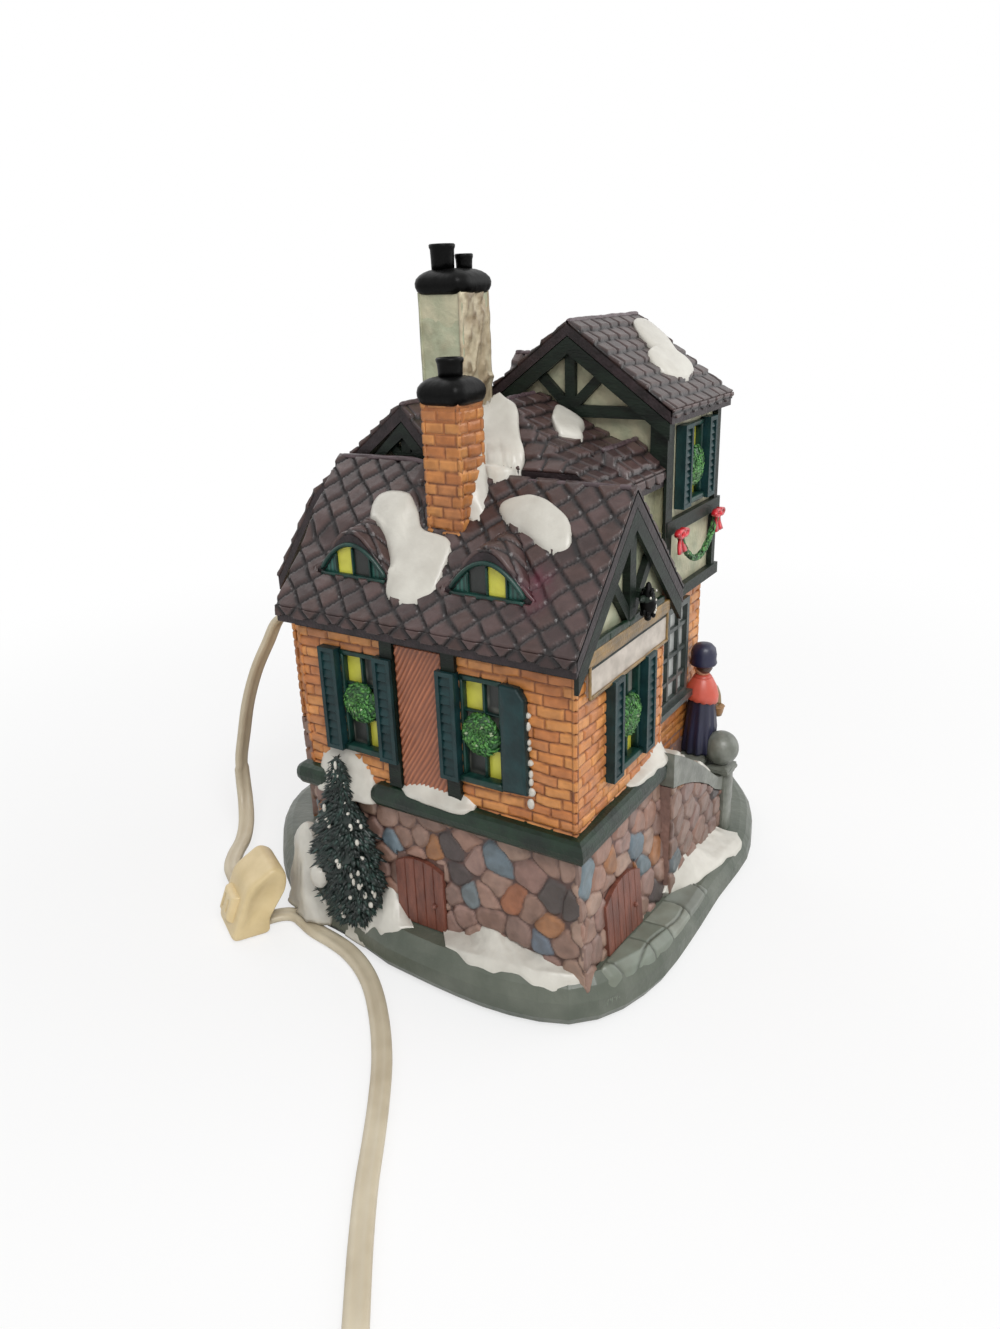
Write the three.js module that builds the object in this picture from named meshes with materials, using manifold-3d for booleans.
// Lighted village house: a cast and hand-painted shop with a half-timbered tower, hollow and
// open underneath, lit by a small bulb on a cord that clips into the back wall.
//
// Millimetres, +Z up. In the house frame x runs along the shop front, y runs back along the side
// wall, and zero is the front wing's near corner. The exported group moves the middle of the
// plinth's underside to the origin.

import * as THREE from 'three';
import { mergeVertices } from 'three/addons/utils/BufferGeometryUtils.js';
import Module from 'manifold-3d';

const wasm = await Module();
wasm.setup();

// Clearances and walls
const GAP = 0.3; // between pieces that touch
const WALL = 4; // cast walls
const TRIM = 1.6; // how far timbers stand out of a wall

// Plinth: a cast slab of ground with a bulging edge, higher round the near corner
const PLINTH_TOP = 9.7;
const PLINTH_SEAT = 2; // ledge left inside the basement wall
const PLINTH_RISE = 4.4; // extra height of the ground at the near corner
const PLINTH_EDGE = [[3, 0], [1.2, 1.2], [0, 3.6], [0.5, 6.6], [2, 8.8], [4.2, PLINTH_TOP]];
const PLINTH_OUTLINE = [
  [48, -15.8], [64, -15.4], [82, -16], [92, -15.6], [107, -11.6], [117, -8.2], [126, -2.8], [136, 6],
  [141, 24], [142, 56], [140, 92], [132, 124], [110, 138], [76, 141], [42, 139.5], [14, 118], [0.4, 100],
  [-3.8, 91], [-4.8, 84], [-5.4, 76], [-7, 67.6], [-9.6, 58], [-10.6, 46], [-11.3, 32], [-10.9, 19], [-8.6, 7], [-4.6, -2],
  [3.4, -9], [12.4, -12.8], [24, -15.4],
];

// Storeys
const BASEMENT_TOP = 49.5;
const BASEMENT_BATTER = 3.2; // how far the stone front leans out at its foot
const STOREY_FOOT = BASEMENT_TOP + GAP;
const JETTY_Z = 93.7; // top of the tower's lower storey
const UPPER_FOOT = JETTY_Z + GAP;

// Front wing, its ridge along y
const WING_W = 49.4;
const RIDGE_X = 26;
const WING_ROOF_X1 = 56.9;
const WING_D = 84;
const WING_EAVE_Z = 103.2;
const WING_RIDGE_Z = 135.6;
const EAVE_OVERHANG = 4.9;
const VERGE_OVERHANG = 3.1;
const ROOF_T = 4.2; // roof thickness, measured upright
const UPPER_COURSES = { rise: 2.2, y: WING_D - 30, x: 8 }; // thicker courses on the far half of the ridge

// Main block behind and beside the front wing
const BLOCK_X1 = 101;
const BLOCK_Y0 = 9.5;
const BLOCK_Y1 = WING_D + 34;
const REAR_X0 = 32;
const REAR_RIDGE = { y: WING_D - 17, z: 152, front: 1.1, back: 0.77, knee: WING_D + 17, skirt: 1.5 };
const CENTRE_RIDGE = { x: 47, y: WING_D - 39, z: 152, front: 0.5, back: 1.35, hip: 0.84 };
const GABLET_RIDGE = { x: 44, y: 15, z: 140.5, pitch: 0.85 };

// Tower
const TOWER = { x0: 65, x1: 103, y0: 7, y1: 62 };
const TOWER_RIDGE = { y: 34.5, z: 171, pitch: 0.72 };
const TOWER_VERGE = 3.4;
const TOWER_ROOF_T = 3.5;
const BACK_GABLE = { x: 86, z: 161, pitch: 1.12, half: 10.4, y1: 65.3 };

// Windows: glass opening, and where each one sits on its wall
const SASH = { bar: 1, proud: 0.9, depth: 1.8, sill: 2.4 };
const SIDE_WINDOW = { w: 12, h: 28, z: 64.2, near: 25.4, far: 63.6 };
const SHOP_WINDOW = { w: 13, h: 26, z: 64, x: 27.6 };
const TOWER_WINDOW = { w: 12, h: 21.5, z: 121.3, x: 84.6 };
const BAY_WINDOW = { w: 23, h: 32, z: 59.4, x: 76, out: 3 };
const SHUTTER = { w: 5.6, t: 2.9, extra: 0.8, slats: 11 };
const WREATH = { r: 0.35, tube: 0.14 }; // as a share of the window's width

// Eyebrow dormers in the side slope
const EYEBROW = { face: 3, sill: 111.4, rise: 11.6, half: 15, back: 0.12, shell: 2.4 };
const EYEBROW_LIGHT = { half: 10.4, rise: 8.4 };
const EYEBROW_Y = { near: 25, far: 66 };

// Side wall timbers and the rendered panel between them
const POST_W = 4;
const POST_NEAR_Y = 32.2;
const POST_FAR_Y = 51.4;
const EAVE_BEAM = { z0: 97.4, z1: 101.9 };
const LEDGE = { z0: 48.9, h: 6.8, out: 4.3, near: [[0, 59.4], [0, 0], [46.4, 0]], far: [[0, 86.6], [0, 78.6]] };
const PANEL_T = 0.8;

// Chimneys
const BRICK_STACK = { x: 14, y: 38.5, w: 10, top: 155 };
const PLASTER_STACK = { x: 43, y: 56, w: 13, top: 179.5 };
const CAP_H = 5.6;

// Stair beside the shop
const STAIR = { x0: 49, x1: 91, y0: -4.6, wall: 3.6 };
const COPING_TOP = [[49, 57], [55, 53.8], [64, 48.4], [72, 43], [80, 37], [87, 32], [92, 30]];
const COPING_FOOT = [[49, 46.4], [57, 44], [64, 41.2], [71, 37.8], [78, 33.8], [85, 28.6], [91, 25.6]];
const STEP_Z = { top: 47, rest: 36.8, foot: 31 };
const NEWEL = { x: 94.8, y: -2.8, w: 6.6, top: 31, ball: 5.4 };

// Lamp in the back wall
const LAMP = { x: 47.6, z: 77.8, hole: 13, barrel: 10.2, cup: 6.7, flange: 15 };
const CORD_W = 5.3; // flat twin cord
const CORD_T = 2.7;

const HIGH = 220; // above everything

const clamp01 = (t) => Math.min(1, Math.max(0, t));
const smooth = (t) => clamp01(t) ** 2 * (3 - 2 * clamp01(t));

// Solids

function solidOf(geometry) {
  const bare = geometry.index ? geometry.clone() : geometry;
  bare.deleteAttribute('normal');
  bare.deleteAttribute('uv');
  const merged = mergeVertices(bare, 1e-4);
  const points = merged.getAttribute('position').array;
  const index = merged.getIndex().array;
  const triangles = [];
  let volume = 0;
  const a = new THREE.Vector3();
  const b = new THREE.Vector3();
  const c = new THREE.Vector3();
  for (let i = 0; i < index.length; i += 3) {
    const [p, q, r] = [index[i], index[i + 1], index[i + 2]];
    if (p === q || q === r || r === p) continue;
    triangles.push([p, q, r]);
    a.fromArray(points, 3 * p);
    b.fromArray(points, 3 * q);
    c.fromArray(points, 3 * r);
    volume += a.dot(b.cross(c));
  }
  const outward = volume < 0 ? triangles.map(([p, q, r]) => [p, r, q]) : triangles;
  return new wasm.Manifold(new wasm.Mesh({
    numProp: 3,
    vertProperties: new Float32Array(points),
    triVerts: new Uint32Array(outward.flat()),
  }));
}

function geometryOf(solid) {
  const mesh = solid.getMesh();
  const geometry = new THREE.BufferGeometry();
  geometry.setAttribute('position', new THREE.Float32BufferAttribute(mesh.vertProperties, 3));
  geometry.setIndex(Array.from(mesh.triVerts));
  geometry.computeVertexNormals();
  return geometry;
}

const union = (...solids) => solids.reduce((sum, next) => sum.add(next));

// Prisms: an outline in the plane across the named axis, pushed along it
const AXIS_ROWS = {
  x: (at) => [0, 0, 1, at, 1, 0, 0, 0, 0, 1, 0, 0, 0, 0, 0, 1],
  y: (at) => [1, 0, 0, 0, 0, 0, -1, at, 0, 1, 0, 0, 0, 0, 0, 1],
  z: (at) => [1, 0, 0, 0, 0, 1, 0, 0, 0, 0, 1, at, 0, 0, 0, 1],
};

function prism(axis, outline, from, to, holes = []) {
  const shape = new THREE.Shape(outline.map(([p, q]) => new THREE.Vector2(p, q)));
  for (const hole of holes) {
    shape.holes.push(new THREE.Path(hole.map(([p, q]) => new THREE.Vector2(p, q))));
  }
  const geometry = new THREE.ExtrudeGeometry(shape, { depth: to - from, bevelEnabled: false });
  const at = axis === 'y' ? to : from;
  geometry.applyMatrix4(new THREE.Matrix4().set(...AXIS_ROWS[axis](at)));
  return solidOf(geometry);
}

function box(x0, x1, y0, y1, z0, z1) {
  const geometry = new THREE.BoxGeometry(x1 - x0, y1 - y0, z1 - z0);
  geometry.translate((x0 + x1) / 2, (y0 + y1) / 2, (z0 + z1) / 2);
  return solidOf(geometry);
}

const rectangle = (p0, p1, q0, q1) => [[p0, q0], [p1, q0], [p1, q1], [p0, q1]];

// A skin over a stack of rings with equal point counts, closed by a fan at each end
function loft(rings) {
  const n = rings[0].length;
  const points = rings.flat(2);
  const index = [];
  for (let k = 0; k + 1 < rings.length; k += 1) {
    for (let i = 0; i < n; i += 1) {
      const j = (i + 1) % n;
      index.push(k * n + i, k * n + j, (k + 1) * n + j, k * n + i, (k + 1) * n + j, (k + 1) * n + i);
    }
  }
  for (const [k, flip] of [[0, true], [rings.length - 1, false]]) {
    const centre = [0, 1, 2].map((m) => rings[k].reduce((sum, p) => sum + p[m] / n, 0));
    const tip = points.length / 3;
    points.push(...centre);
    for (let i = 0; i < n; i += 1) {
      const j = (i + 1) % n;
      index.push(...(flip ? [tip, k * n + j, k * n + i] : [tip, k * n + i, k * n + j]));
    }
  }
  const geometry = new THREE.BufferGeometry();
  geometry.setAttribute('position', new THREE.Float32BufferAttribute(points, 3));
  geometry.setIndex(index);
  return solidOf(geometry);
}

// A sheet over a grid of x and y lines between an upper and a lower height function
function sheet(xs, ys, top, bottom) {
  const nx = xs.length;
  const ny = ys.length;
  const points = [];
  for (const height of [top, bottom]) {
    for (const y of ys) {
      for (const x of xs) points.push(x, y, height(x, y));
    }
  }
  const at = (layer, i, j) => layer * nx * ny + j * nx + i;
  const index = [];
  const quad = (a, b, c, d) => index.push(a, b, c, a, c, d);
  for (let j = 0; j + 1 < ny; j += 1) {
    for (let i = 0; i + 1 < nx; i += 1) {
      quad(at(0, i, j), at(0, i + 1, j), at(0, i + 1, j + 1), at(0, i, j + 1));
      quad(at(1, i, j), at(1, i, j + 1), at(1, i + 1, j + 1), at(1, i + 1, j));
    }
  }
  for (let i = 0; i + 1 < nx; i += 1) {
    quad(at(1, i, 0), at(1, i + 1, 0), at(0, i + 1, 0), at(0, i, 0));
    quad(at(1, i + 1, ny - 1), at(1, i, ny - 1), at(0, i, ny - 1), at(0, i + 1, ny - 1));
  }
  for (let j = 0; j + 1 < ny; j += 1) {
    quad(at(1, 0, j + 1), at(1, 0, j), at(0, 0, j), at(0, 0, j + 1));
    quad(at(1, nx - 1, j), at(1, nx - 1, j + 1), at(0, nx - 1, j + 1), at(0, nx - 1, j));
  }
  const geometry = new THREE.BufferGeometry();
  geometry.setAttribute('position', new THREE.Float32BufferAttribute(points, 3));
  geometry.setIndex(index);
  return solidOf(geometry);
}

// A moulding: a section of [out, up] points swept along a plan path with mitred corners. Out is
// to the right of the direction of travel. Ends may be rounded over.
function moulding(section, path, rounded = false) {
  const normals = path.slice(1).map(([x, y], i) => {
    const [dx, dy] = [x - path[i][0], y - path[i][1]];
    const length = Math.hypot(dx, dy);
    return [dy / length, -dx / length];
  });
  const rings = path.map(([x, y], i) => {
    const before = normals[Math.max(0, i - 1)];
    const after = normals[Math.min(normals.length - 1, i)];
    const scale = 1 + before[0] * after[0] + before[1] * after[1];
    const m = [(before[0] + after[0]) / scale, (before[1] + after[1]) / scale];
    return section.map(([out, up]) => [x + m[0] * out, y + m[1] * out, up]);
  });
  if (!rounded) return loft(rings);
  const bulge = Math.max(...section.map(([out]) => out)) / 2;
  const end = (ring, normal, sign) => [0.5, 0.85].map((s) => {
    const centre = [0, 1, 2].map((m) => ring.reduce((sum, p) => sum + p[m] / ring.length, 0));
    const along = sign * bulge * Math.sin(s * Math.PI / 2);
    const shrink = Math.cos(s * Math.PI / 2);
    return ring.map((p) => [
      centre[0] + (p[0] - centre[0]) * shrink - normal[1] * along,
      centre[1] + (p[1] - centre[1]) * shrink + normal[0] * along,
      centre[2] + (p[2] - centre[2]) * shrink,
    ]);
  });
  const first = end(rings[0], normals[0], -1).reverse();
  const last = end(rings.at(-1), normals.at(-1), 1);
  return loft([...first, ...rings, ...last]);
}

// A body of revolution from [radius, height] points, about a line through at along z or y
function revolve(profile, segments, at, axis = 'z') {
  const geometry = new THREE.LatheGeometry(profile.map(([r, h]) => new THREE.Vector2(r, h)), segments);
  if (axis === 'z') geometry.rotateX(Math.PI / 2);
  geometry.translate(...at);
  return solidOf(geometry);
}

function ellipsoid(centre, radii, segments = 14) {
  const geometry = new THREE.SphereGeometry(1, segments, Math.round(segments * 0.6));
  geometry.scale(...radii);
  geometry.translate(...centre);
  return solidOf(geometry);
}

// Rectilinear outline moved outward by d, or inward where d is negative
function offset(outline, d) {
  const n = outline.length;
  return outline.map(([x, y], i) => {
    const [px, py] = outline[(i + n - 1) % n];
    const [qx, qy] = outline[(i + 1) % n];
    const a = [Math.sign(y - py), Math.sign(px - x)];
    const b = [Math.sign(qy - y), Math.sign(x - qx)];
    return [x + d * (a[0] + b[0]), y + d * (a[1] + b[1])];
  });
}

// Scene graph

const house = new THREE.Group();
const FINISH = {
  stone: { color: 0x8e7268, roughness: 0.6 },
  plinth: { color: 0x70756b, roughness: 0.55 },
  brick: { color: 0xb9763f, roughness: 0.55 },
  panel: { color: 0xa5654a, roughness: 0.6 },
  timber: { color: 0x2c3a30, roughness: 0.45 },
  shutter: { color: 0x1f4448, roughness: 0.45 },
  roof: { color: 0x4a3c40, roughness: 0.45 },
  plaster: { color: 0xb9b8a0, roughness: 0.7 },
  chimney: { color: 0xa2a488, roughness: 0.65 },
  cap: { color: 0x232424, roughness: 0.35 },
  door: { color: 0x6e4438, roughness: 0.55 },
  grey: { color: 0x6c6f64, roughness: 0.6 },
  sign: { color: 0xc8c0b8, roughness: 0.5 },
  bay: { color: 0x3a4440, roughness: 0.45 },
  garland: { color: 0x4f8a4f, roughness: 0.6 },
  figure: { color: 0x1c1e38, roughness: 0.5 },
  tree: { color: 0x1f2c2a, roughness: 0.5 },
  snow: { color: 0xdcdad0, roughness: 0.5 },
  film: { color: 0xd2d24e, roughness: 0.4 },
  ivory: { color: 0xdcc79a, roughness: 0.4 },
  cord: { color: 0xc8c4b0, roughness: 0.5 },
  steel: { color: 0xb8bcc0, roughness: 0.3, metalness: 1 },
  brass: { color: 0xc8a24a, roughness: 0.35, metalness: 1 },
  glass: { color: 0xe8e8e4, roughness: 0.1 },
};

function add(name, solid, finish, parent = house) {
  const mesh = new THREE.Mesh(geometryOf(solid), new THREE.MeshStandardMaterial(FINISH[finish]));
  mesh.name = name;
  parent.add(mesh);
  return mesh;
}

// Height of each roof's outer surface
const WING_PITCH = (WING_RIDGE_Z - WING_EAVE_Z) / (RIDGE_X + EAVE_OVERHANG);
const wingSlope = (x) => WING_RIDGE_Z - WING_PITCH * Math.abs(x - RIDGE_X);
const eyebrowHood = (x, y, centre) => {
  const t = Math.abs(y - centre) / EYEBROW.half;
  if (t >= 1 || x < EYEBROW.face) return -Infinity;
  const swell = Math.cos(t * Math.PI / 2) ** 2;
  return EYEBROW.sill + EYEBROW.rise * swell + EYEBROW.back * (x - EYEBROW.face);
};
const wingTop = (x, y) => {
  const courses = UPPER_COURSES.rise * smooth((y - UPPER_COURSES.y) / 4)
    * smooth((x - UPPER_COURSES.x) / 5);
  const hoods = Object.values(EYEBROW_Y).map((centre) => eyebrowHood(x, y, centre));
  return Math.max(wingSlope(x) + courses, ...hoods);
};
const wingUnderside = (x, y) => {
  const hoods = Object.values(EYEBROW_Y)
    .map((centre) => eyebrowHood(x - EYEBROW.shell, y, centre) - EYEBROW.shell);
  return Math.max(wingSlope(x) - ROOF_T, ...hoods);
};
const centreTop = (x, y) => {
  const { front, back, hip, z } = CENTRE_RIDGE;
  const dy = y - CENTRE_RIDGE.y;
  const slope = Math.min(z + front * dy, z - back * dy, z - hip * (CENTRE_RIDGE.x - x));
  const gablet = GABLET_RIDGE.z - GABLET_RIDGE.pitch * Math.abs(y - GABLET_RIDGE.y);
  return x > GABLET_RIDGE.x ? Math.max(slope, gablet) : slope;
};
const rearTop = (x, y) => {
  const { front, back, knee, skirt, z } = REAR_RIDGE;
  if (y < REAR_RIDGE.y) return z - front * (REAR_RIDGE.y - y);
  return z - back * (Math.min(y, knee) - REAR_RIDGE.y) - skirt * Math.max(0, y - knee);
};
const towerTop = (x, y) => TOWER_RIDGE.z - TOWER_RIDGE.pitch * Math.abs(y - TOWER_RIDGE.y);
const backGableTop = (x) => BACK_GABLE.z - BACK_GABLE.pitch * Math.abs(x - BACK_GABLE.x);

// Plan lines of each roof's grid
const lines = (from, to, step) => {
  const count = Math.max(1, Math.round((to - from) / step));
  return Array.from({ length: count + 1 }, (_, i) => from + (to - from) * i / count);
};
const STEP = 0.02; // width of an upright face in a height grid
const wingX = [
  -EAVE_OVERHANG, EYEBROW.face - STEP, EYEBROW.face, EYEBROW.face + EYEBROW.shell - STEP,
  EYEBROW.face + EYEBROW.shell, ...lines(EYEBROW.face + 5, EYEBROW.face + 14, 3), RIDGE_X, WING_ROOF_X1,
];
const wingY = [
  -VERGE_OVERHANG, ...lines(EYEBROW_Y.near - EYEBROW.half, EYEBROW_Y.near + EYEBROW.half, 2.5),
  ...lines(EYEBROW_Y.far - EYEBROW.half, EYEBROW_Y.far + EYEBROW.half, 2.5),
  WING_D + VERGE_OVERHANG,
];
const centreX = [...lines(29, 41, 3), GABLET_RIDGE.x - STEP, GABLET_RIDGE.x, CENTRE_RIDGE.x, TOWER.x0 - GAP];
const centreY = [
  6, GABLET_RIDGE.y, ...lines(GABLET_RIDGE.y + 5, GABLET_RIDGE.y + 20, 5), ...lines(CENTRE_RIDGE.y, CENTRE_RIDGE.y + 13, 3.2),
];
const below = (xs, ys, top, d = GAP) => sheet(xs, ys, (x, y) => top(x, y) + d, () => 20);

// What each finished block takes up, with clearance, for cutting its neighbours
const wingRoofSpace = below(wingX, wingY, wingTop);
const centreRoofSpace = below(centreX, centreY, centreTop);
const rearX = [REAR_X0 - TOWER_VERGE, BLOCK_X1 + TOWER_VERGE];
const rearY = [REAR_RIDGE.y - 21, REAR_RIDGE.y, REAR_RIDGE.knee, BLOCK_Y1 + 1.4];
const rearRoofSpace = below(rearX, rearY, rearTop);

// Plinth: a worn slab, open under the rooms

const outlineCurve = new THREE.CatmullRomCurve3(
  PLINTH_OUTLINE.map(([x, y]) => new THREE.Vector3(x, y, 0)), true, 'centripetal');
const plinthRim = outlineCurve.getSpacedPoints(64).slice(0, -1);
const rimBounds = new THREE.Box3().setFromPoints(plinthRim);
const groundRise = (x, y) => PLINTH_RISE * (1 - smooth((x - 4) / 46)) * (1 - 0.3 * smooth((y - 20) / 25));
function plinthRing(inset, z, lift, share) {
  return plinthRim.map((p, i) => {
    const q = plinthRim[(i + 1) % plinthRim.length];
    const o = plinthRim.at(i - 1);
    const length = Math.hypot(q.x - o.x, q.y - o.y);
    return [p.x - inset * (q.y - o.y) / length, p.y + inset * (q.x - o.x) / length,
      z + lift + share * groundRise(p.x, p.y)];
  });
}
const plinthBody = (grow, lift) => loft(PLINTH_EDGE.map(([inset, z], k) => (
  plinthRing(inset - grow, z, lift, clamp01((k - 2) / 3)))));

// Plan of the house walls, and of the room inside them
const FOOTPRINT = [
  [0, 0], [WING_W, 0], [WING_W, BLOCK_Y0], [BLOCK_X1, BLOCK_Y0], [BLOCK_X1, BLOCK_Y1],
  [REAR_X0, BLOCK_Y1], [REAR_X0, WING_D], [0, WING_D],
];
const ROOM = offset(FOOTPRINT, -WALL);
const groundSpace = plinthBody(GAP, GAP);

// Stone basement: a ring of wall whose front leans out at the foot

function battered(grow, z0, z1) {
  const lean = (z) => BASEMENT_BATTER * (BASEMENT_TOP - z) / (BASEMENT_TOP - PLINTH_TOP);
  const plan = offset(FOOTPRINT, grow);
  const facesFront = plan.map(([, y]) => y < BLOCK_Y0 + 1);
  const solid = prism('z', plan, z0, z1);
  const mesh = geometryOf(solid);
  const position = mesh.getAttribute('position');
  for (let i = 0; i < position.count; i += 1) {
    const hit = plan.findIndex(([x, y]) => Math.hypot(x - position.getX(i), y - position.getY(i)) < 0.01);
    if (facesFront[hit]) position.setY(i, position.getY(i) - lean(position.getZ(i)));
  }
  return solidOf(mesh);
}
const basement = battered(0, PLINTH_TOP + GAP, BASEMENT_TOP)
  .subtract(prism('z', ROOM, PLINTH_TOP - 1, BASEMENT_TOP + 1));
add('stone_basement', basement, 'stone');
const basementSpace = battered(GAP, PLINTH_TOP, BASEMENT_TOP + GAP);
const plinth = plinthBody(0, 0)
  .subtract(prism('z', offset(ROOM, -PLINTH_SEAT), -1, HIGH))
  .subtract(basementSpace);
add('plinth', plinth, 'plinth');

// Cellar doors: boards under a low arch with a round knob, one on the side, one at the front

function boardDoor(width, height, boards) {
  const rise = width * 0.16;
  const arch = Array.from({ length: 9 }, (_, i) => {
    const t = 1 - i / 4;
    return [t * width / 2, height - rise * t * t];
  });
  const leaf = prism('y', [[-width / 2, 0], [width / 2, 0], ...arch], -1.7, -GAP);
  const grooves = lines(-width / 2, width / 2, width / boards).slice(1, -1)
    .map((x) => prism('z', [[x - 0.3, -1.8], [x + 0.3, -1.8], [x, -1.3]], -1, height + 1));
  const knob = ellipsoid([width * 0.3, -1.9, height * 0.45], [0.8, 0.8, 0.8], 10);
  return leaf.subtract(union(...grooves)).add(knob);
}
const turned = (solid, matrix) => solidOf(geometryOf(solid).applyMatrix4(matrix));
const onSide = (y, z) => new THREE.Matrix4().makeRotationZ(-Math.PI / 2).setPosition(0, y, z);
const onBatter = (x, z) => new THREE.Matrix4()
  .makeRotationX(-Math.atan(BASEMENT_BATTER / (BASEMENT_TOP - PLINTH_TOP)))
  .setPosition(x, -BASEMENT_BATTER, z);
add('cellar_door_side', turned(boardDoor(16, 24.4, 5), onSide(48, PLINTH_TOP + GAP))
  .subtract(groundSpace), 'door');
add('cellar_door_front', turned(boardDoor(21, 22.4, 6), onBatter(21, PLINTH_TOP + GAP))
  .subtract(groundSpace), 'door');

// Rounded ledge between stone and brick

const ledgeSection = Array.from({ length: 9 }, (_, i) => {
  const angle = -Math.PI / 2 + Math.PI * i / 8;
  const flat = Math.sign(Math.sin(angle)) * Math.abs(Math.sin(angle)) ** 0.8;
  return [GAP + (LEDGE.out - GAP) * Math.cos(angle) ** 0.7 || GAP, LEDGE.z0 + LEDGE.h * (1 + flat) / 2];
});
add('ledge_moulding', moulding(ledgeSection, LEDGE.near, true), 'timber');
add('ledge_end', moulding(ledgeSection, LEDGE.far, true), 'timber');
const farLedgeSpace = box(-LEDGE.out - GAP, 0, LEDGE.far[1][1] - LEDGE.out / 2 - GAP, 100,
  LEDGE.z0 - GAP, LEDGE.z0 + LEDGE.h + GAP);

// Windows: a sash with bars and a sill, made facing -y with its foot at zero, and a wreath

function wreath(width, z) {
  const n = 14;
  const ring = Array.from({ length: n }, (_, i) => {
    const a = 2 * Math.PI * i / n;
    const lump = 1 + 0.16 * Math.cos(7 * a);
    return Array.from({ length: 6 }, (_, j) => {
      const b = 2 * Math.PI * j / 6;
      const r = width * (WREATH.r + WREATH.tube * lump * Math.cos(b));
      const out = -SASH.proud - 0.9 + width * WREATH.tube * lump * Math.sin(b);
      return [r * Math.cos(a), out, z + r * Math.sin(a)];
    });
  });
  const points = ring.flat(2);
  const index = [];
  for (let i = 0; i < n; i += 1) {
    for (let j = 0; j < 6; j += 1) {
      const [a, b] = [i * 6 + j, i * 6 + (j + 1) % 6];
      const [c, d] = [((i + 1) % n) * 6 + j, ((i + 1) % n) * 6 + (j + 1) % 6];
      index.push(a, c, d, a, d, b);
    }
  }
  const geometry = new THREE.BufferGeometry();
  geometry.setAttribute('position', new THREE.Float32BufferAttribute(points, 3));
  geometry.setIndex(index);
  return solidOf(geometry);
}

function sash(width, height, columns, rows, bar = SASH.bar) {
  const half = width / 2 - GAP;
  const frame = prism('y', rectangle(-half, half, GAP, height - GAP), -SASH.proud, SASH.depth, [
    rectangle(-half + bar, half - bar, GAP + bar, height - GAP - bar)]);
  const uprights = lines(-half, half, 2 * half / columns).slice(1, -1)
    .map((x) => box(x - bar / 2, x + bar / 2, -SASH.proud + 0.2, SASH.depth, 0.6, height - 0.6));
  const rails = lines(0, height, height / rows).slice(1, -1)
    .map((z) => box(-half + 0.1, half - 0.1, -SASH.proud + 0.3, SASH.depth, z - bar / 2, z + bar / 2));
  const sill = box(-width / 2 - 0.1, width / 2 + 0.1, -SASH.sill, -GAP, -1.6, 0.6);
  return union(frame, ...uprights, ...rails, sill);
}

function shutter(height, slats) {
  const w = SHUTTER.w;
  const front = -GAP - SHUTTER.t;
  const frame = box(-w / 2, w / 2, front, -GAP, 0, height)
    .subtract(box(-w / 2 + 1.1, w / 2 - 1.1, front - 1, front + 1, 1.2, height - 1.2));
  const pitch = (height - 2.4) / slats;
  const teeth = Array.from({ length: slats }, (_, i) => 1.2 + pitch * i)
    .flatMap((z) => [[front + 0.25, z], [front + 0.8, z + pitch * 0.86]]);
  const louvres = prism('x', [[front + 1.2, 1], ...teeth, [front + 1.2, height - 1]],
    -w / 2 + 0.9, w / 2 - 0.9);
  return frame.add(louvres);
}

const FACING = { front: 0, side: -Math.PI / 2 };
function window(name, size, facing, at, wallFace, columns, rows) {
  const solid = sash(size.w, size.h, columns, rows).add(wreath(size.w, size.h * 0.5));
  const mesh = add(`${name}_window`, solid, 'shutter');
  const place = (node, along) => {
    node.rotation.z = FACING[facing];
    if (facing === 'front') node.position.set(at + along, wallFace, size.z);
    else node.position.set(wallFace, at - along, size.z);
  };
  place(mesh, 0);
  const height = size.h + 2 * SHUTTER.extra;
  for (const [side, sign] of [['left', -1], ['right', 1]]) {
    let solidShutter = shutter(height, SHUTTER.slats);
    const along = sign * (size.w + SHUTTER.w + 2 * (GAP + 0.1)) / 2;
    if (facing === 'side') {
      // Where a shutter folds back over a wall post, the post's thickness is let into its back
      const [u0, u1] = [at - along - SHUTTER.w / 2, at - along + SHUTTER.w / 2];
      for (const [p0, p1, t] of wallTrims) {
        const [c0, c1] = [Math.max(u0, p0 - GAP), Math.min(u1, p1 + GAP)];
        if (c1 <= c0) continue;
        const middle = at - along;
        solidShutter = solidShutter.subtract(
          box(middle - c1 - 0.01, middle - c0 + 0.01, -GAP - t - GAP, 1, -1, height + 1));
      }
    }
    const node = add(`${name}_shutter_${side}`, solidShutter, 'shutter');
    place(node, along);
    node.position.z -= SHUTTER.extra;
  }
}
const wallTrims = [
  [POST_NEAR_Y, POST_NEAR_Y + POST_W, TRIM], [POST_FAR_Y, POST_FAR_Y + POST_W, TRIM],
  [POST_NEAR_Y + POST_W, POST_FAR_Y, PANEL_T],
];
window('side_near', SIDE_WINDOW, 'side', SIDE_WINDOW.near, 0, 2, 3);
window('side_far', SIDE_WINDOW, 'side', SIDE_WINDOW.far, 0, 2, 3);
window('shop', SHOP_WINDOW, 'front', SHOP_WINDOW.x, 0, 2, 3);
window('tower', TOWER_WINDOW, 'front', TOWER_WINDOW.x, TOWER.y0, 2, 3);

// Front wing walls: brick, with a gable at each end and the rooms open to the block behind

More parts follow.
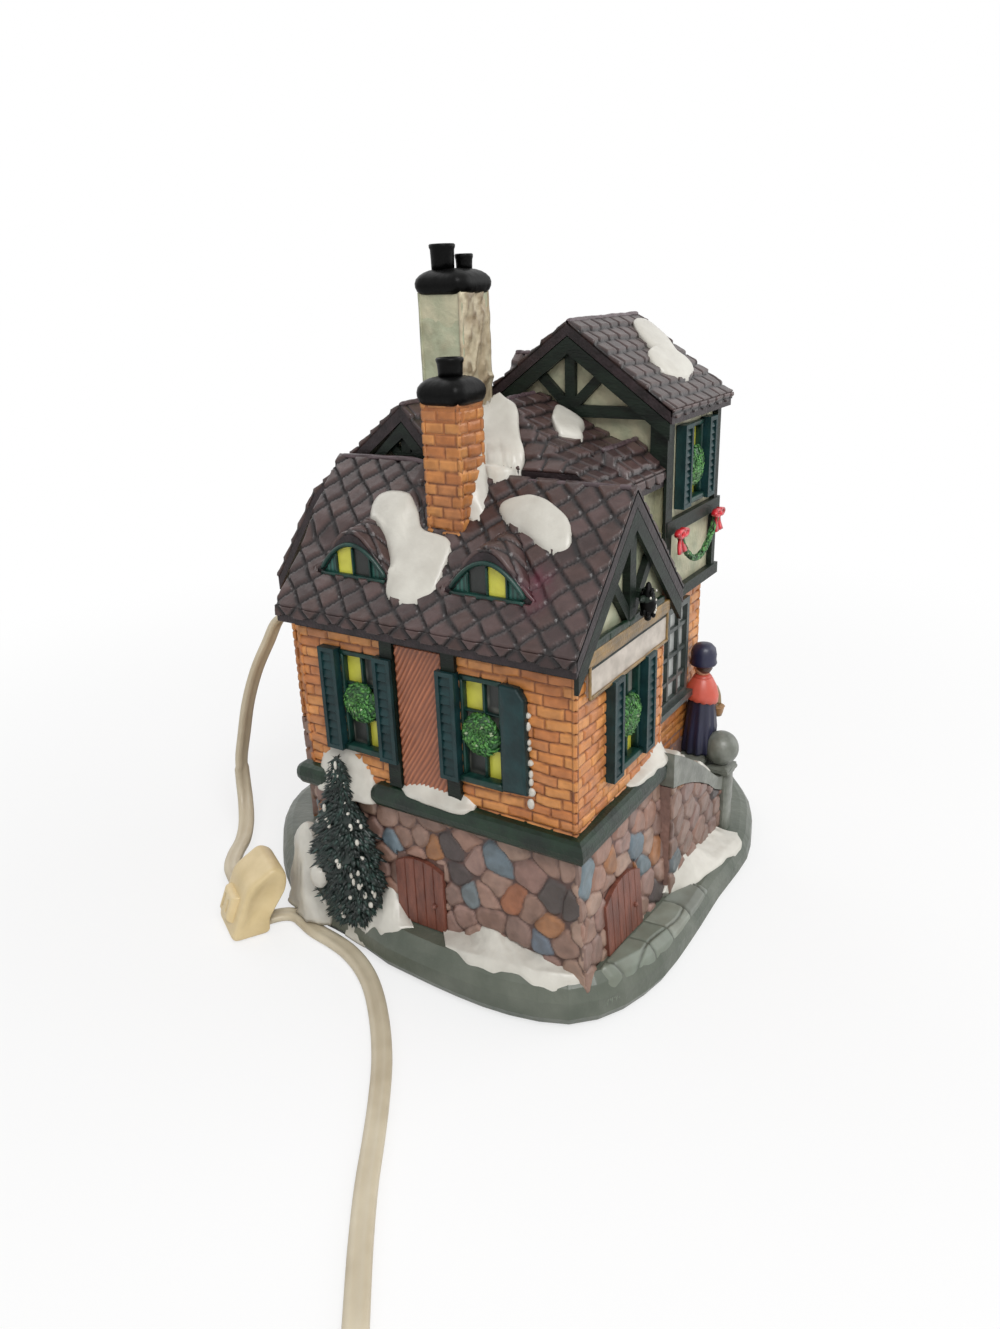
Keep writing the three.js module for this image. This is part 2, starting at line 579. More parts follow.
const wingWallTop = WING_RIDGE_Z - ROOF_T - GAP;
const wingPent = [
  [0, STOREY_FOOT], [WING_W, STOREY_FOOT], [WING_W, wingSlope(WING_W) - ROOF_T - GAP],
  [RIDGE_X, wingWallTop], [0, wingSlope(0) - ROOF_T - GAP],
];
const holeThrough = (size, along) => rectangle(along - size.w / 2, along + size.w / 2,
  size.z, size.z + size.h);
const wingRooms = union(
  box(WALL, WING_W - WALL, WALL, BLOCK_Y0 + WALL, 0, HIGH),
  box(WALL, WING_W + 1, BLOCK_Y0 + WALL - 0.3, WING_D - WALL, 0, HIGH),
  box(REAR_X0 + GAP, WING_W + 1, WING_D - WALL - 1, WING_D + 1, 0, HIGH));
const wingHoles = union(
  prism('x', holeThrough(SIDE_WINDOW, SIDE_WINDOW.near), -1, WALL + 1),
  prism('x', holeThrough(SIDE_WINDOW, SIDE_WINDOW.far), -1, WALL + 1),
  prism('y', holeThrough(SHOP_WINDOW, SHOP_WINDOW.x), -1, WALL + 1));
const wingWalls = prism('y', wingPent, 0, WING_D).subtract(wingRooms).subtract(wingHoles);
add('front_wing_walls', wingWalls, 'brick');

// Tinted light sheet behind the windows, folded round the inside corner

const FILM_T = 0.8;
const SHEET_MARGIN = 3;
const film = { in0: WALL + GAP, in1: WALL + GAP + FILM_T };
const filmX1 = SHOP_WINDOW.x + SHOP_WINDOW.w / 2 + SHEET_MARGIN;
const filmY1 = SIDE_WINDOW.far + SIDE_WINDOW.w / 2 + SHEET_MARGIN;
add('light_sheet', prism('z', [
  [film.in0, film.in0], [filmX1, film.in0], [filmX1, film.in1], [film.in1, film.in1],
  [film.in1, filmY1], [film.in0, filmY1],
], SIDE_WINDOW.z - SHEET_MARGIN, SIDE_WINDOW.z + SIDE_WINDOW.h + SHEET_MARGIN), 'film');

// Timber frame of the front wing: eave beam round the corner, and two wall posts

const beamSection = rectangle(GAP, GAP + TRIM, EAVE_BEAM.z0, EAVE_BEAM.z1);
const eaveBeam = moulding(beamSection, [[0, WING_D], [0, 0], [WING_W, 0]]);
const postFoot = LEDGE.z0 + LEDGE.h + GAP;
const posts = [POST_NEAR_Y, POST_FAR_Y].map((y) => box(
  -GAP - TRIM, -GAP, y, y + POST_W, postFoot, EAVE_BEAM.z0 + 1));
add('timber_frame', union(eaveBeam, ...posts), 'timber');
add('rendered_panel', box(-GAP - PANEL_T, -GAP, POST_NEAR_Y + POST_W + GAP, POST_FAR_Y - GAP,
  postFoot, EAVE_BEAM.z0 - GAP), 'panel');

// Sign board over the shop window, left bare inside a raised frame

const SIGN = { x0: 4.4, x1: 48.6, z0: 91.2, z1: 97.1, t: 1.5 };
const signBoard = box(SIGN.x0, SIGN.x1, -GAP - SIGN.t, -GAP, SIGN.z0, SIGN.z1)
  .subtract(box(SIGN.x0 + 1.1, SIGN.x1 - 1.1, -5, -GAP - SIGN.t + 0.6, SIGN.z0 + 1, SIGN.z1 - 1));
add('sign_board', signBoard, 'sign');

// Front roof: one sheet over ridge, thick upper courses and both eyebrow hoods

const eyebrowArch = (centre, shrink) => {
  const { half, rise } = EYEBROW_LIGHT;
  const arc = Array.from({ length: 15 }, (_, i) => {
    const t = 1 - i / 7;
    return [centre + t * (half - shrink), EYEBROW.sill + 0.5 + shrink
      + (rise - 2 * shrink) * Math.cos(t * Math.PI / 2)];
  });
  return arc;
};
const eyebrowHoles = union(...Object.values(EYEBROW_Y).map((centre) => prism('x',
  eyebrowArch(centre, 0), EYEBROW.face - 2, EYEBROW.face + EYEBROW.shell + 1)));
const wingRoof = sheet(wingX, wingY, wingTop, wingUnderside)
  .subtract(box(WING_W - WALL - GAP, WING_W + 20, BLOCK_Y0 - GAP, WING_D + 20, 0, HIGH))
  .subtract(eyebrowHoles);
add('front_roof', wingRoof, 'roof');

for (const [side, centre] of Object.entries(EYEBROW_Y)) {
  const outer = eyebrowArch(centre, GAP);
  const frame = prism('x', outer, EYEBROW.face - 0.5, EYEBROW.face + 1.6, [eyebrowArch(centre, 1.5)]);
  const bars = [-4.6, 0, 4.6].map((dy) => box(EYEBROW.face - 0.3, EYEBROW.face + 1.5,
    centre + dy - 0.5, centre + dy + 0.5, EYEBROW.sill, EYEBROW.sill + 12));
  const light = frame.add(union(...bars).intersect(prism('x', outer, 0, 8)));
  add(`eyebrow_window_${side}`, light, 'shutter');
}

// Front gable: bargeboards under the verge, king post and struts, and a hanging iron drop

const bandUnder = (slope, x0, x1, ridge, from, to) => [
  [x0, slope(x0) - from], [ridge, slope(ridge) - from], [x1, slope(x1) - from],
  [x1, slope(x1) - to], [ridge, slope(ridge) - to], [x0, slope(x0) - to],
];
const frontBarge = prism('y', bandUnder(wingSlope, -EAVE_OVERHANG + 1, WING_ROOF_X1 - 1,
  RIDGE_X, ROOF_T + GAP, ROOF_T + GAP + 5.2), -VERGE_OVERHANG, -1.9);
const gableFoot = EAVE_BEAM.z1 + GAP;
const strut = (x0, z0, x1, z1, w) => {
  const length = Math.hypot(x1 - x0, z1 - z0);
  const [nx, nz] = [-(z1 - z0) / length * w / 2, (x1 - x0) / length * w / 2];
  return [[x0 - nx, z0 - nz], [x1 - nx, z1 - nz], [x1 + nx, z1 + nz], [x0 + nx, z0 + nz]];
};
const gableField = prism('y', [[RIDGE_X - 23, gableFoot], [RIDGE_X + 23, gableFoot],
  [RIDGE_X, wingWallTop - 1]], -4, 0);
const frontTruss = union(
  prism('y', strut(RIDGE_X, gableFoot, RIDGE_X, wingWallTop, 3.4), -2.3, -GAP),
  prism('y', strut(RIDGE_X, gableFoot + 1, RIDGE_X - 11, gableFoot + 14, 2.6), -2.1, -GAP),
  prism('y', strut(RIDGE_X, gableFoot + 1, RIDGE_X + 11, gableFoot + 14, 2.6), -2.1, -GAP),
).intersect(gableField);

const DROP = { x: 29, y: -4.6, z: 104.4 };
const dropBody = revolve([[0, 0], [0.9, 0.5], [1.5, 1.6], [1.1, 2.6], [2, 3.4], [1.8, 4.6], [0.7, 5.6],
  [0.9, 6.6], [0, 7.2]], 12, [DROP.x, DROP.y, DROP.z]);
const dropHook = box(DROP.x - 0.7, DROP.x + 2, DROP.y, -1, DROP.z + 4, DROP.z + 5.6);
const dropLeaves = [-1, 1].map((s) => ellipsoid([DROP.x + s * 2.2, DROP.y, DROP.z + 4.4], [1.6, 0.7, 0.9], 10));
add('front_gable_timbers', union(frontBarge, frontTruss, dropBody, dropHook, ...dropLeaves), 'timber');

// Main storey of the block, with the bay opening in front and the lamp hole behind

const storeyPlan = [
  [WING_W + GAP, BLOCK_Y0], [BLOCK_X1, BLOCK_Y0], [BLOCK_X1, BLOCK_Y1], [REAR_X0, BLOCK_Y1],
  [REAR_X0, WING_D + GAP], [REAR_X0 + WALL, WING_D + GAP], [REAR_X0 + WALL, BLOCK_Y1 - WALL],
  [BLOCK_X1 - WALL, BLOCK_Y1 - WALL], [BLOCK_X1 - WALL, BLOCK_Y0 + WALL], [WING_W + GAP, BLOCK_Y0 + WALL],
];
const lampHole = revolve([[0, 0], [LAMP.hole, 0], [LAMP.hole, WALL + 4], [0, WALL + 4]], 36,
  [LAMP.x, BLOCK_Y1 - WALL - 2, LAMP.z], 'y');
const storeyWalls = prism('z', storeyPlan, STOREY_FOOT, JETTY_Z)
  .subtract(prism('y', holeThrough(BAY_WINDOW, BAY_WINDOW.x), BLOCK_Y0 - 1, BLOCK_Y0 + WALL + 1))
  .subtract(lampHole);
add('block_walls', storeyWalls, 'brick');

// Bay window: a shallow box of panes on a sill

function bayWindow() {
  const { w, h, out } = BAY_WINDOW;
  const half = w / 2 - GAP;
  const frame = prism('y', rectangle(-half, half, GAP, h - GAP), -out, SASH.depth,
    [rectangle(-half + 1.8, half - 1.8, 2.2, h - 2.2)]);
  const uprights = lines(-half, half, 2 * half / 3).slice(1, -1)
    .map((x) => box(x - 0.6, x + 0.6, -out + 0.3, SASH.depth, 1, h - 1));
  const rails = lines(0, h, h / 4).slice(1, -1)
    .map((z) => box(-half + 0.5, half - 0.5, -out + 0.4, SASH.depth, z - 0.6, z + 0.6));
  const sill = prism('x', [[-GAP, -3.4], [-out - 1.4, -1.6], [-out - 1.4, 0.4], [-GAP, 0.4]],
    -w / 2 - 1.5, w / 2 + 1.5);
  return union(frame, ...uprights, ...rails, sill);
}
add('bay_window', bayWindow(), 'bay').position.set(BAY_WINDOW.x, BLOCK_Y0, BAY_WINDOW.z);

// Upper rear walls: gable to the left and right, under the long rear roof

const centreRoofShell = sheet([centreX[0] - 3 * GAP, ...centreX.slice(1)], [...centreY.slice(0, -1),
  centreY.at(-1) + 3 * GAP], (x, y) => centreTop(x, y) + 3 * GAP,
(x, y) => centreTop(x, y) - ROOF_T - 3 * GAP);
const rearWallTop = (y) => rearTop(0, y) - ROOF_T - GAP;
const REAR_WALL_Y0 = REAR_RIDGE.y - 9.4;
const rearPent = [
  [REAR_WALL_Y0, UPPER_FOOT], [BLOCK_Y1, UPPER_FOOT], [BLOCK_Y1, rearWallTop(BLOCK_Y1)],
  [REAR_RIDGE.knee, rearWallTop(REAR_RIDGE.knee)],
  [REAR_RIDGE.y, rearWallTop(REAR_RIDGE.y)], [REAR_WALL_Y0, rearWallTop(REAR_WALL_Y0)],
];
const rearWalls = prism('x', rearPent, REAR_X0, BLOCK_X1)
  .subtract(box(REAR_X0 + WALL, BLOCK_X1 - WALL, 0, BLOCK_Y1 - WALL, 0, HIGH))
  .subtract(wingRoofSpace)
  .subtract(box(0, WING_W + GAP, 0, WING_D + GAP, 0, 110))
  .subtract(box(REAR_X0 + WALL + 1, BLOCK_X1 + 1, 0, TOWER.y1 + GAP, 0, HIGH))
  .subtract(centreRoofShell);
add('rear_upper_walls', rearWalls, 'plaster');

const rearBand = (from, to, y0, y1) => bandUnder((y) => rearTop(0, y), y0, y1, REAR_RIDGE.y, from, to);
const TRUSS = { near: 15, far: 17, post: 32, fork: 16, arm: 7, spread: 9, foot: 52, reach: 42 };
const trussStrut = (dy0, down0, dy1, down1, w) => prism('x',
  strut(REAR_RIDGE.y + dy0, REAR_RIDGE.z - down0, REAR_RIDGE.y + dy1, REAR_RIDGE.z - down1, w),
  REAR_X0 - 2, REAR_X0 - GAP);
const underRearRoof = [-27, 0, TRUSS.reach].map((dy) => [REAR_RIDGE.y + dy, rearWallTop(REAR_RIDGE.y + dy)]);
const rearTruss = union(
  prism('x', rearBand(ROOF_T + GAP, ROOF_T + GAP + 4, REAR_RIDGE.y - TRUSS.near, REAR_RIDGE.y + TRUSS.far),
    REAR_X0 - TOWER_VERGE, REAR_X0 - 1.8),
  trussStrut(0, TRUSS.post, 0, ROOF_T + 2, 3),
  trussStrut(0, TRUSS.fork, -TRUSS.spread, TRUSS.arm, 2.4),
  trussStrut(0, TRUSS.fork, TRUSS.spread, TRUSS.arm, 2.4),
).intersect(prism('x', [[REAR_RIDGE.y - 27, REAR_RIDGE.z - TRUSS.foot],
  [REAR_RIDGE.y + 43, REAR_RIDGE.z - TRUSS.foot], ...underRearRoof.reverse()], 20, 40))
  .subtract(wingRoofSpace).subtract(centreRoofShell);
add('rear_gable_timbers', rearTruss, 'timber');

// Roofs of the block. Each is cut where a higher neighbour takes over.

const towerFootprint = box(TOWER.x0 - TOWER_VERGE - GAP, HIGH, -10, BACK_GABLE.y1 + GAP, 0, HIGH);
const stackSpace = ({ x, y, w }) => box(x - GAP, x + w + GAP, y - GAP, y + w + GAP, 0, HIGH);
const rearRoof = sheet(rearX, rearY, rearTop, (x, y) => rearTop(x, y) - ROOF_T)
  .subtract(wingRoofSpace).subtract(centreRoofSpace).subtract(towerFootprint);
add('rear_roof', rearRoof, 'roof');

const centreRoof = sheet(centreX, centreY, centreTop, (x, y) => centreTop(x, y) - ROOF_T)
  .subtract(wingRoofSpace).subtract(rearRoofSpace.intersect(box(0, HIGH, 60, HIGH, 0, HIGH)));
add('centre_roof', centreRoof, 'roof');

// Tower: walls with gables, a wing wall beside it under the small roof

const towerWallTop = (y) => towerTop(0, y) - TOWER_ROOF_T - GAP;
const towerPent = [
  [TOWER.y0, UPPER_FOOT], [TOWER.y1, UPPER_FOOT], [TOWER.y1, towerWallTop(TOWER.y1)],
  [TOWER_RIDGE.y, towerWallTop(TOWER_RIDGE.y)], [TOWER.y0, towerWallTop(TOWER.y0)],
];
const backGableWall = prism('y', [
  [BACK_GABLE.x - 7, 140], [BACK_GABLE.x + 7, 140], [BACK_GABLE.x + 7, backGableTop(BACK_GABLE.x + 7) - 3.8],
  [BACK_GABLE.x, BACK_GABLE.z - 3.8], [BACK_GABLE.x - 7, backGableTop(BACK_GABLE.x - 7) - 3.8],
], TOWER.y1 - WALL, TOWER.y1);
const linkWall = box(WING_W + GAP, TOWER.x0 + 1, BLOCK_Y0, BLOCK_Y0 + WALL, UPPER_FOOT,
  centreTop(TOWER.x0, BLOCK_Y0) - ROOF_T - 3 * GAP);
const towerWalls = prism('x', towerPent, TOWER.x0, TOWER.x1)
  .subtract(box(TOWER.x0 + WALL, TOWER.x1 - WALL, TOWER.y0 + WALL, TOWER.y1 - WALL, 0, HIGH))
  .add(backGableWall).add(linkWall)
  .subtract(prism('y', holeThrough(TOWER_WINDOW, TOWER_WINDOW.x), TOWER.y0 - 1, TOWER.y0 + WALL + 1));
add('tower_walls', towerWalls, 'plaster');

const towerX = [TOWER.x0 - TOWER_VERGE, TOWER.x1 + TOWER_VERGE];
const towerY = [TOWER.y0 - TOWER_VERGE, TOWER_RIDGE.y, TOWER.y1 + 2.8];
const mainTowerRoof = sheet(towerX, towerY, towerTop, (x, y) => towerTop(x, y) - TOWER_ROOF_T);
const backGableX = [BACK_GABLE.x - BACK_GABLE.half, BACK_GABLE.x, BACK_GABLE.x + BACK_GABLE.half];
const backGableRoof = sheet(backGableX, [40, BACK_GABLE.y1], backGableTop, (x) => backGableTop(x) - 3.3)
  .subtract(below(towerX, towerY, towerTop, -1));
const backGableRoom = below(backGableX.map((x) => x + Math.sign(BACK_GABLE.x - x) * 3),
  [50, BACK_GABLE.y1 + 1], (x) => backGableTop(x) - 3.3, 0);
add('tower_roof', mainTowerRoof.subtract(backGableRoom.intersect(box(0, HIGH, 57, 70, 0, HIGH)))
  .add(backGableRoof), 'roof');

// Tower timbers: left gable truss, corner posts and two beams round the front

const towerBarge = prism('x', bandUnder((y) => towerTop(0, y), TOWER.y0 - TOWER_VERGE + 0.6,
  TOWER.y1 + 2.2, TOWER_RIDGE.y, TOWER_ROOF_T + GAP, TOWER_ROOF_T + GAP + 4.4),
  TOWER.x0 - TOWER_VERGE, TOWER.x0 - 1.6);
const TB = { x0: TOWER.x0 - 2, x1: TOWER.x0 - GAP, beam: 146 };
const towerTrussField = prism('x', [[TOWER.y0 - 1.8, 90], [TOWER.y1, 90],
  [TOWER.y1, towerWallTop(TOWER.y1)], [TOWER_RIDGE.y, towerWallTop(TOWER_RIDGE.y)],
  [TOWER.y0 - 1.8, towerWallTop(TOWER.y0 - 1.8)]], 50, 80);
const towerTruss = union(
  box(TB.x0, TB.x1, TOWER.y0 - 1.8, TOWER.y1 - 1, TB.beam, TB.beam + 3.2),
  prism('x', strut(TOWER_RIDGE.y, TB.beam, TOWER_RIDGE.y, TOWER_RIDGE.z, 3), TB.x0, TB.x1),
  prism('x', strut(TOWER_RIDGE.y, TB.beam + 2, TOWER_RIDGE.y - 12, TB.beam + 13.5, 2.6), TB.x0, TB.x1),
  prism('x', strut(TOWER_RIDGE.y, TB.beam + 2, TOWER_RIDGE.y + 12, TB.beam + 13.5, 2.6), TB.x0, TB.x1),
  box(TB.x0, TB.x1, TOWER.y0 - 1.8, TOWER.y0 + 3.2, 100, 160),
).intersect(towerTrussField);
const cornerPost = (x0, x1) => box(x0, x1, TOWER.y0 - 1.8, TOWER.y0 - GAP, UPPER_FOOT,
  towerWallTop(TOWER.y0 - 1.8));
const upperBeam = { z0: 114.4, z1: 118.4 };
const towerBelt = (z0, z1, out) => moulding(rectangle(GAP, out, z0, z1),
  [[TOWER.x0 - 1, TOWER.y0], [TOWER.x1, TOWER.y0], [TOWER.x1, TOWER.y1]]);
const towerTimbers = union(towerBarge, towerTruss, cornerPost(TB.x0, TOWER.x0 + 2.6),
  cornerPost(TOWER.x1 - 2.6, TOWER.x1), towerBelt(upperBeam.z0, upperBeam.z1, 2),
  towerBelt(UPPER_FOOT, UPPER_FOOT + 3.4, 2.2));
add('tower_timbers', towerTimbers.subtract(centreRoofSpace), 'timber');

// Garland between two bows on the tower front

const garlandY = TOWER.y0 - 1.8 - GAP - 1.3;
const swagPoints = lines(-1, 1, 0.25).map((t) => new THREE.Vector3(
  88.4 + 12 * t, garlandY, 103.6 + 8 * t * t));
const swagSection = new THREE.Shape(Array.from({ length: 6 }, (_, i) => new THREE.Vector2(
  1.3 * Math.cos(2 * Math.PI * i / 6), 1.3 * Math.sin(2 * Math.PI * i / 6))));
const swag = solidOf(new THREE.ExtrudeGeometry(swagSection, {
  steps: 12, extrudePath: new THREE.CatmullRomCurve3(swagPoints),
}));
const bow = (x) => union(
  ellipsoid([x, garlandY, 111.6], [1.1, 1.2, 1.2], 6),
  ellipsoid([x - 1.7, garlandY, 112.4], [1.7, 1, 1.3], 7),
  ellipsoid([x + 1.7, garlandY, 112.4], [1.7, 1, 1.3], 7),
  prism('y', [[x, 112], [x - 2.2, 107.4], [x - 0.6, 107.8]], garlandY - 0.6, garlandY + 0.6),
  prism('y', [[x, 112], [x + 0.6, 107.8], [x + 2.2, 107.4]], garlandY - 0.6, garlandY + 0.6));
add('garland', union(swag, bow(76.4), bow(100.2)), 'garland');

// Chimneys stand on the roofs; caps are cushions of clay with a pot or two

const roofSpaces = [wingRoofSpace, centreRoofSpace, rearRoofSpace];
function stack({ x, y, w, top }, foot) {
  const shaft = loft([[0, foot], [0, top - 12], [0.4, top - 1.5], [0.4, top]].map(([grow, z]) => (
    rectangle(x - grow, x + w + grow, y - grow, y + w + grow).map(([p, q]) => [p, q, z]))));
  return roofSpaces.reduce((solid, space) => solid.subtract(space), shaft);
}
function cushion(cx, cy, half, z) {
  const ring = (grow, up) => Array.from({ length: 16 }, (_, i) => {
    const a = 2 * Math.PI * i / 16;
    const round = (Math.abs(Math.cos(a)) ** 4 + Math.abs(Math.sin(a)) ** 4) ** -0.25;
    return [cx + (half + grow) * round * Math.cos(a), cy + (half + grow) * round * Math.sin(a), z + up];
  });
  return loft([[-1.2, 0], [0.4, 0.9], [1, 2.6], [0.5, 4.3], [-1.4, 5.3], [-3.2, CAP_H]]
    .map(([grow, up]) => ring(grow, up)));
}
const pot = (x, y, z, r, h) => revolve([[0, -1], [r, -1], [r * 0.92, h * 0.7], [r * 1.08, h * 0.78],
  [r * 1.08, h * 0.95], [r * 0.9, h], [r * 0.55, h], [r * 0.5, h - 1.2], [0, h - 1.2]], 16, [x, y, z]);
const middle = ({ x, y, w }) => [x + w / 2, y + w / 2];

add('brick_chimney', stack(BRICK_STACK, 100), 'brick');
const [bx, by] = middle(BRICK_STACK);
const brickCapZ = BRICK_STACK.top + GAP;
add('brick_chimney_cap', cushion(bx, by, BRICK_STACK.w / 2 + 1.4, brickCapZ)
  .add(pot(bx, by, brickCapZ + CAP_H, 3.1, 4.6)), 'cap');
add('plaster_chimney', stack(PLASTER_STACK, 100), 'chimney');
const [px, py] = middle(PLASTER_STACK);
const plasterCapZ = PLASTER_STACK.top + GAP;
add('plaster_chimney_cap', union(cushion(px, py, PLASTER_STACK.w / 2 + 1.2, plasterCapZ),
  pot(px - 2, py + 1.6, plasterCapZ + CAP_H, 3.2, 6.4),
  pot(px + 3.4, py - 1.6, plasterCapZ + CAP_H, 2.3, 4)), 'cap');

// Stair beside the shop: stone cheek wall, coping that falls to a newel with a ball, and steps

const STAIR_FOOT = PLINTH_TOP - 2; // everything here is then cut off at the ground
const cheek = prism('y', [[STAIR.x0, STAIR_FOOT], [STAIR.x1 + GAP, STAIR_FOOT],
  ...COPING_FOOT.toReversed().map(([x, z]) => [x, z - GAP])], STAIR.y0, STAIR.y0 + STAIR.wall)
  .subtract(basementSpace).subtract(groundSpace)
  .subtract(box(NEWEL.x - NEWEL.w / 2 - GAP, HIGH, -20, 20, 0, HIGH));
add('stair_wall', cheek, 'stone');
const copingBack = STAIR.y0 + STAIR.wall + 0.4;
const coping = prism('y', [...COPING_FOOT, [NEWEL.x, 25], ...COPING_TOP.toReversed()],
  STAIR.y0 - 0.9, copingBack).subtract(box(40, WING_W + GAP, -GAP, 10, 0, HIGH));
const newelBack = NEWEL.y + NEWEL.w / 2 - 1;
const newelPost = box(NEWEL.x - NEWEL.w / 2, NEWEL.x + NEWEL.w / 2, NEWEL.y - NEWEL.w / 2,
  newelBack, STAIR_FOOT, NEWEL.top).subtract(groundSpace);
const newelCap = loft([[0.2, 0], [1.1, 0.8], [1.1, 2], [-1.4, 3]].map(([grow, up]) => rectangle(
  NEWEL.x - NEWEL.w / 2 - grow, NEWEL.x + NEWEL.w / 2 + grow, NEWEL.y - NEWEL.w / 2 - grow,
  newelBack + grow).map(([p, q]) => [p, q, NEWEL.top - 0.5 + up])));
const ballAt = [NEWEL.x, NEWEL.y - 0.5, NEWEL.top + 2.2 + NEWEL.ball];
const ball = (grow) => ellipsoid(ballAt, Array(3).fill(NEWEL.ball + grow), 18);
add('coping_and_newel', union(coping, newelPost, newelCap, ball(0)), 'grey');

const LANDING_END = 106;
const stepLines = [[62, STEP_Z.top], [69, 43.6], [76, 40.2], [102, STEP_Z.rest]];
const stepProfile = stepLines.flatMap(([x, z], i) => [[x, z], [x, stepLines[i + 1]?.[1] ?? STEP_Z.foot]]);
const steps = prism('y', [[WING_W + GAP, STAIR_FOOT], [LANDING_END, STAIR_FOOT],
  [LANDING_END, STEP_Z.foot], ...stepProfile.toReversed(), [WING_W + GAP, STEP_Z.top]],
copingBack + GAP, BLOCK_Y0 - GAP)
  .subtract(basementSpace).subtract(groundSpace)
  .subtract(box(NEWEL.x - NEWEL.w, NEWEL.x + NEWEL.w, -20, newelBack + 1.1 + GAP, 0, STEP_Z.rest))
  .subtract(ball(GAP));
add('stair_steps', steps, 'grey');

// Shopper: cloak and bell skirt, shawl, brimmed hat and a basket on one arm

const FIGURE = { x: 94.6, y: 4 };
const figureRings = [
  [0, 6.6, 5.6], [1.2, 6.8, 5.7], [7, 6, 5.2], [13, 4.6, 4.4], [15.4, 4.6, 4.6], [16.6, 5.6, 5.8],
  [20, 5.8, 5.8], [23.4, 4.8, 4.6], [25.6, 2.6, 2.6], [26.6, 1.7, 1.7], [27.6, 1.7, 1.7],
].map(([z, a, b]) => Array.from({ length: 16 }, (_, i) => {
  const t = 2 * Math.PI * i / 16;
  const fold = z < 12 ? 1 + 0.05 * Math.cos(6 * t) : 1;
  return [a * fold * Math.cos(t), b * fold * Math.sin(t), z];
}));
const figure = union(loft(figureRings),
  ellipsoid([0, 0, 29.6], [2.6, 2.6, 3.2], 12),
  revolve([[0, 30.4], [3.6, 30.4], [4, 31.4], [3.4, 32.4], [3.2, 34.6], [2, 36.2], [0, 36.6]], 14, [0, 0, 0]),
  ellipsoid([4.4, -3.6, 17], [1.9, 1.9, 3.6], 8), ellipsoid([5.6, -4.6, 13.4], [2, 1.6, 1.8], 8));
const bayClear = box(60, BAY_WINDOW.x + BAY_WINDOW.w / 2 + 1.5 + GAP, 0, 20, 50, 100);
const figureStand = new THREE.Matrix4().setPosition(FIGURE.x, FIGURE.y, STEP_Z.rest + GAP);
add('shopper_figure', turned(figure, figureStand).subtract(ball(GAP)).subtract(basementSpace)
  .subtract(box(0, HIGH, BLOCK_Y0 - GAP, 40, 0, HIGH)).subtract(bayClear), 'figure');

// Spruce against the basement wall, in tiers of drooping boughs

const TREE = { x: -5, y: 71.6, foot: PLINTH_TOP - 1, flat: 0.52 };
const TREE_WIDTHS = [
  [0, 3], [1.6, 7.6], [4.2, 9.4], [6.4, 10.2], [8, 12], [13, 11.2], [15, 13], [20, 11.4], [22, 12.6],
  [27, 10], [29, 11], [33, 7.6], [35, 8.6], [39, 4.6], [41, 4.8], [45, 2.8], [47, 3.2], [50.6, 1.6],
  [53, 0.5],
];
const treeRings = TREE_WIDTHS.map(([up, width], k) => Array.from({ length: 16 }, (_, i) => {
  const a = 2 * Math.PI * (i + 0.35 * k) / 16;
  const r = width * (1 + 0.09 * Math.cos(8 * a + 1.7 * k));
  return [TREE.x + TREE.flat * r * Math.cos(a), TREE.y + r * Math.sin(a), TREE.foot + up];
}));
const spruce = loft(treeRings).subtract(box(-GAP, 40, 40, 100, 0, 100)).subtract(farLedgeSpace)
  .subtract(groundSpace);
add('spruce_tree', spruce, 'tree');

// Snow: cushions of white laid over whatever is beneath them

function snowPatch(outline, height, thick, spaces) {
  const curve = new THREE.CatmullRomCurve3(
    outline.map(([x, y]) => new THREE.Vector3(x, y, 0)), true, 'centripetal');
  const rim = curve.getSpacedPoints(22).slice(0, -1);
  const centre = rim.reduce((sum, p) => sum.add(p.clone().divideScalar(rim.length)), new THREE.Vector3());
  const ring = (s, lift) => rim.map((p) => {
    const x = centre.x + (p.x - centre.x) * s;
    const y = centre.y + (p.y - centre.y) * s;
    return [x, y, height(x, y) + lift];
  });
  const solid = loft([ring(0.3, -2), ring(1, -2), ring(1, 0.7), ring(0.94, thick * 0.7),
    ring(0.8, thick), ring(0.45, thick)]);
  return spaces.reduce((rest, space) => rest.subtract(space), solid);
}
const brickFoot = stackSpace(BRICK_STACK);
const plasterFoot = stackSpace(PLASTER_STACK);
add('snow_on_front_roof', snowPatch(
  [[17, 68], [19, 62], [17.5, 55], [13.4, 50.5], [11.4, 40.5], [7, 39.5], [2, 40], [-1, 46], [0.5, 53.5],
    [5.6, 55.8], [10.2, 60.6], [13.2, 67.4]], wingTop, 1.6, [wingRoofSpace, brickFoot]), 'snow');
add('snow_by_ridge', snowPatch(
  [[19.6, 31], [22, 25], [21, 17.5], [17, 9.6], [13.4, 8.4], [12.2, 13], [14.5, 20], [17, 28]],
  wingTop, 1.5, [wingRoofSpace]), 'snow');
add('snow_on_tower', snowPatch(
  [[94.5, 30.2], [99, 31], [105, 25], [105.4, 13], [96, 5], [84, 5], [77.5, 7], [78, 14], [86, 19]],
  towerTop, 1.5, [below(towerX, towerY, towerTop)]), 'snow');

